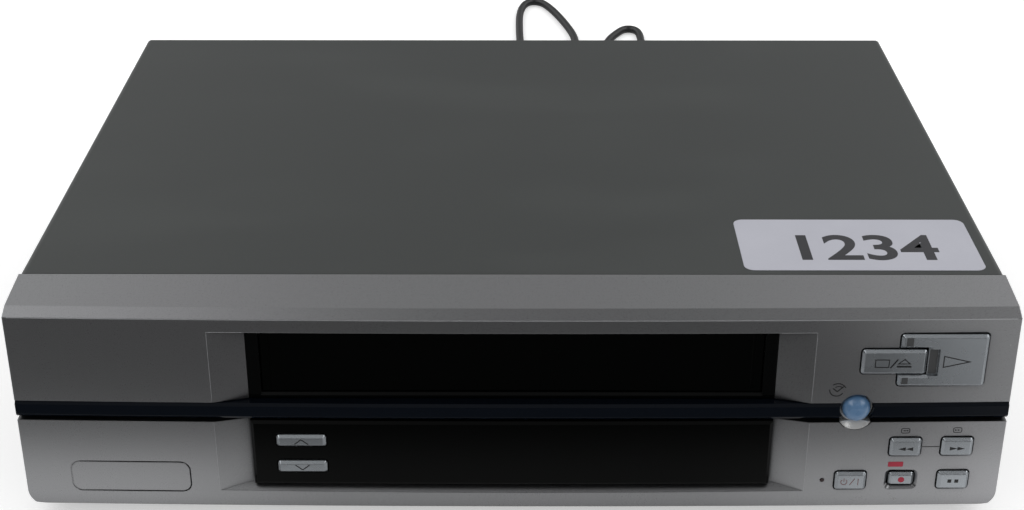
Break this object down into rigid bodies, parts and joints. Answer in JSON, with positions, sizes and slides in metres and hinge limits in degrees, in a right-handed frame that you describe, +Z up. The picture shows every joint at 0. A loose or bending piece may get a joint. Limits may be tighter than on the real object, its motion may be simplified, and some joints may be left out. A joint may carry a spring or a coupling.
{
  "type": "video cassette recorder",
  "caption": "Free-standing video cassette recorder with a silver bowed front, inward-swinging cassette door, push buttons, and a tape deck inside a folded steel case.",
  "frame": {"origin": "middle of the footprint, on the surface that the feet stand on", "axes": "+X to the right seen from the front, +Y from the front to the rear, +Z up"},
  "size_m": [0.3918, 0.6215, 0.094],
  "materials": {
    "cover_paint": "satin dark grey-green powder coat",
    "silver_plastic": "satin metallic silver paint on moulded plastic",
    "dark_plastic": "black moulded plastic",
    "gloss_black": "polished black",
    "trim_navy": "dark navy gloss",
    "chromed_plastic": "bright chrome plating",
    "blue_plastic": "steel-blue gloss",
    "lamp_plastic": "dark lens",
    "foot_rubber": "soft black",
    "screw_steel": "black zinc",
    "board_green": "phenolic board",
    "display_glass": "vacuum display tube",
    "deck_steel": "zinc plated steel",
    "drum_aluminium": "turned aluminium",
    "capstan_steel": "ground steel",
    "bearing_brass": "sintered bronze",
    "gear_plastic": "white acetal",
    "transformer_ferrite": "ferrite core and tape",
    "cord_rubber": "black cord sheath"
  },
  "bodies": {
    "chassis": {"base_frame": "dark_plastic", "button_dish": "chromed_plastic", "capstan_bearing": "bearing_brass", "carriage_brace": "deck_steel", "carriage_brackets": "deck_steel", "case_screws": "screw_steel", "cord_relief": "cord_rubber", "deck_plate": "deck_steel", "display_tube": "display_glass", "display_window": "gloss_black", "door_frame": "dark_plastic", "drum_base": "drum_aluminium", "euro_sockets": "dark_plastic", "feet": "foot_rubber", "front_bezel": "silver_plastic", "front_board": "board_green", "loading_motor": "dark_plastic", "lower_drum": "drum_aluminium", "main_board": "board_green", "mains_cord": "cord_rubber", "mains_plug": "cord_rubber", "power_parts": "drum_aluminium", "power_transformer": "transformer_ferrite", "rear_panel": "dark_plastic", "reel_belt": "foot_rubber", "standby_lamp": "lamp_plastic", "standoffs": "deck_steel", "tape_heads": "dark_plastic", "top_cover": "cover_paint", "trim_strip": "trim_navy", "tuner_module": "deck_steel"},
    "door": {"cassette_door": "gloss_black"},
    "carriage": {"carriage_slides": "deck_steel"},
    "holder": {"cassette_holder": "deck_steel"},
    "carriage_drive": {"carriage_shaft": "deck_steel"},
    "drum": {"upper_drum": "drum_aluminium"},
    "capstan": {"capstan_flywheel": "capstan_steel"},
    "pinch_arm": {"pinch_lever": "deck_steel"},
    "pinch_wheel": {"pinch_roller": "foot_rubber"},
    "supply_table": {"supply_reel": "gear_plastic"},
    "take_up_table": {"take_up_reel": "gear_plastic"},
    "clutch": {"clutch_pulley": "gear_plastic"},
    "idler_swinger": {"idler_arm": "deck_steel"},
    "idler": {"idler_wheel": "foot_rubber"},
    "supply_gear": {"supply_loading_gear": "gear_plastic"},
    "take_up_gear": {"take_up_loading_gear": "gear_plastic"},
    "cam": {"cam_gear": "gear_plastic"},
    "motor_shaft": {"motor_pinion": "gear_plastic"},
    "supply_carrier": {"supply_guide": "drum_aluminium"},
    "take_up_carrier": {"take_up_guide": "drum_aluminium"},
    "power_key": {"power_button": "silver_plastic"},
    "record_key": {"record_button": "silver_plastic"},
    "pause_key": {"pause_button": "silver_plastic"},
    "rewind_key": {"rewind_button": "silver_plastic"},
    "fast_forward_key": {"fast_forward_button": "silver_plastic"},
    "stop_eject_key": {"stop_eject_button": "silver_plastic"},
    "play_key": {"play_button": "silver_plastic"},
    "channel_up_key": {"channel_up_button": "silver_plastic"},
    "channel_down_key": {"channel_down_button": "silver_plastic"},
    "timer_key": {"timer_button": "blue_plastic"}
  },
  "joints": [
    {"name": "door_hinge", "type": "hinge", "parent": "chassis", "child": "door", "pos_m": [0, -0.1404, 0.0834], "axis": [1, 0, 0], "range_deg": [0, 88], "stiffness_Nm_per_rad": 0.006, "springref_deg": -17.19},
    {"name": "carriage_in", "type": "slide", "parent": "chassis", "child": "carriage", "axis": [0, 1, 0], "range_m": [0, 0.07]},
    {"name": "holder_drop", "type": "slide", "parent": "carriage", "child": "holder", "axis": [0, 0, -1], "range_m": [0, 0.026]},
    {"name": "rack_pinion_turn", "type": "hinge", "parent": "chassis", "child": "carriage_drive", "pos_m": [0, -0.031, 0.02], "axis": [-1, 0, 0], "range_deg": [0, 501.4]},
    {"name": "drum_spin", "type": "hinge", "parent": "chassis", "child": "drum", "pos_m": [0, 0.047, 0.025], "axis": [-0.1045, 0, 0.9945], "continuous": true},
    {"name": "capstan_spin", "type": "hinge", "parent": "chassis", "child": "capstan", "pos_m": [0.056, 0.015, 0.02], "axis": [0, 0, 1], "continuous": true},
    {"name": "clutch_spin", "type": "hinge", "parent": "chassis", "child": "clutch", "pos_m": [0, -0.04, 0.02], "axis": [0, 0, 1], "continuous": true},
    {"name": "pinch_swing", "type": "hinge", "parent": "chassis", "child": "pinch_arm", "pos_m": [0.09, 0.04, 0.028], "axis": [0, 0, 1], "range_deg": [0, 40]},
    {"name": "pinch_roller_spin", "type": "hinge", "parent": "pinch_arm", "child": "pinch_wheel", "pos_m": [0.05654, 0.04602, 0.04], "axis": [0, 0, 1], "continuous": true},
    {"name": "supply_reel_spin", "type": "hinge", "parent": "chassis", "child": "supply_table", "pos_m": [-0.04625, -0.054, 0.03], "axis": [0, 0, 1], "continuous": true},
    {"name": "take_up_reel_spin", "type": "hinge", "parent": "chassis", "child": "take_up_table", "pos_m": [0.04625, -0.054, 0.03], "axis": [0, 0, 1], "continuous": true},
    {"name": "idler_swing", "type": "hinge", "parent": "chassis", "child": "idler_swinger", "pos_m": [0, -0.04, 0.029], "axis": [0, 0, 1], "range_deg": [-32, 32]},
    {"name": "idler_spin", "type": "hinge", "parent": "idler_swinger", "child": "idler", "pos_m": [0, -0.0643, 0.0274], "axis": [0, 0, 1], "continuous": true},
    {"name": "supply_gear_turn", "type": "hinge", "parent": "chassis", "child": "supply_gear", "pos_m": [-0.016, 0, 0.019], "axis": [0, 0, -1], "range_deg": [0, 110]},
    {"name": "take_up_gear_turn", "type": "hinge", "parent": "chassis", "child": "take_up_gear", "pos_m": [0.016, 0, 0.019], "axis": [0, 0, 1], "range_deg": [0, 110]},
    {"name": "cam_gear_turn", "type": "hinge", "parent": "chassis", "child": "cam", "pos_m": [-0.056, 0, 0.019], "axis": [0, 0, 1], "range_deg": [0, 74]},
    {"name": "motor_pinion_turn", "type": "hinge", "parent": "chassis", "child": "motor_shaft", "pos_m": [-0.066, 0.02722, 0.02], "axis": [0, 0, -1], "range_deg": [0, 353]},
    {"name": "supply_guide_travel", "type": "slide", "parent": "chassis", "child": "supply_carrier", "axis": [-0.2425, 0.9701, 0], "range_m": [0, 0.05772]},
    {"name": "take_up_guide_travel", "type": "slide", "parent": "chassis", "child": "take_up_carrier", "axis": [0.2425, 0.9701, 0], "range_m": [0, 0.05772]},
    {"name": "power_press", "type": "slide", "parent": "chassis", "child": "power_key", "axis": [0, 1, 0], "range_m": [0, 0.0008], "stiffness_N_per_m": 250, "springref_m": -0.0006},
    {"name": "record_press", "type": "slide", "parent": "chassis", "child": "record_key", "axis": [0, 1, 0], "range_m": [0, 0.0008], "stiffness_N_per_m": 250, "springref_m": -0.0006},
    {"name": "pause_press", "type": "slide", "parent": "chassis", "child": "pause_key", "axis": [0, 1, 0], "range_m": [0, 0.0008], "stiffness_N_per_m": 250, "springref_m": -0.0006},
    {"name": "rewind_press", "type": "slide", "parent": "chassis", "child": "rewind_key", "axis": [0, 1, 0], "range_m": [0, 0.0008], "stiffness_N_per_m": 250, "springref_m": -0.0006},
    {"name": "fast_forward_press", "type": "slide", "parent": "chassis", "child": "fast_forward_key", "axis": [0, 1, 0], "range_m": [0, 0.0008], "stiffness_N_per_m": 250, "springref_m": -0.0006},
    {"name": "stop_eject_press", "type": "slide", "parent": "chassis", "child": "stop_eject_key", "axis": [0, 1, 0], "range_m": [0, 0.0008], "stiffness_N_per_m": 250, "springref_m": -0.0006},
    {"name": "play_press", "type": "slide", "parent": "chassis", "child": "play_key", "axis": [0, 1, 0], "range_m": [0, 0.0008], "stiffness_N_per_m": 250, "springref_m": -0.0006},
    {"name": "channel_up_press", "type": "slide", "parent": "chassis", "child": "channel_up_key", "axis": [0, 1, 0], "range_m": [0, 0.0008], "stiffness_N_per_m": 250, "springref_m": -0.0006},
    {"name": "channel_down_press", "type": "slide", "parent": "chassis", "child": "channel_down_key", "axis": [0, 1, 0], "range_m": [0, 0.0008], "stiffness_N_per_m": 250, "springref_m": -0.0006},
    {"name": "timer_press", "type": "slide", "parent": "chassis", "child": "timer_key", "axis": [0, 1, 0], "range_m": [0, 0.0008], "stiffness_N_per_m": 250, "springref_m": -0.0006}
  ],
  "couplings": [
    {"joint": "rack_pinion_turn", "follows": "carriage_in", "rad_per_m": 125},
    {"joint": "take_up_gear_turn", "follows": "supply_gear_turn", "ratio": 1},
    {"joint": "cam_gear_turn", "follows": "supply_gear_turn", "ratio": 0.66667},
    {"joint": "motor_pinion_turn", "follows": "supply_gear_turn", "ratio": 3.2},
    {"joint": "supply_guide_travel", "follows": "supply_gear_turn", "m_per_rad": 0.030066},
    {"joint": "take_up_guide_travel", "follows": "supply_gear_turn", "m_per_rad": 0.030066},
    {"joint": "clutch_spin", "follows": "capstan_spin", "ratio": 0.42857}
  ]
}
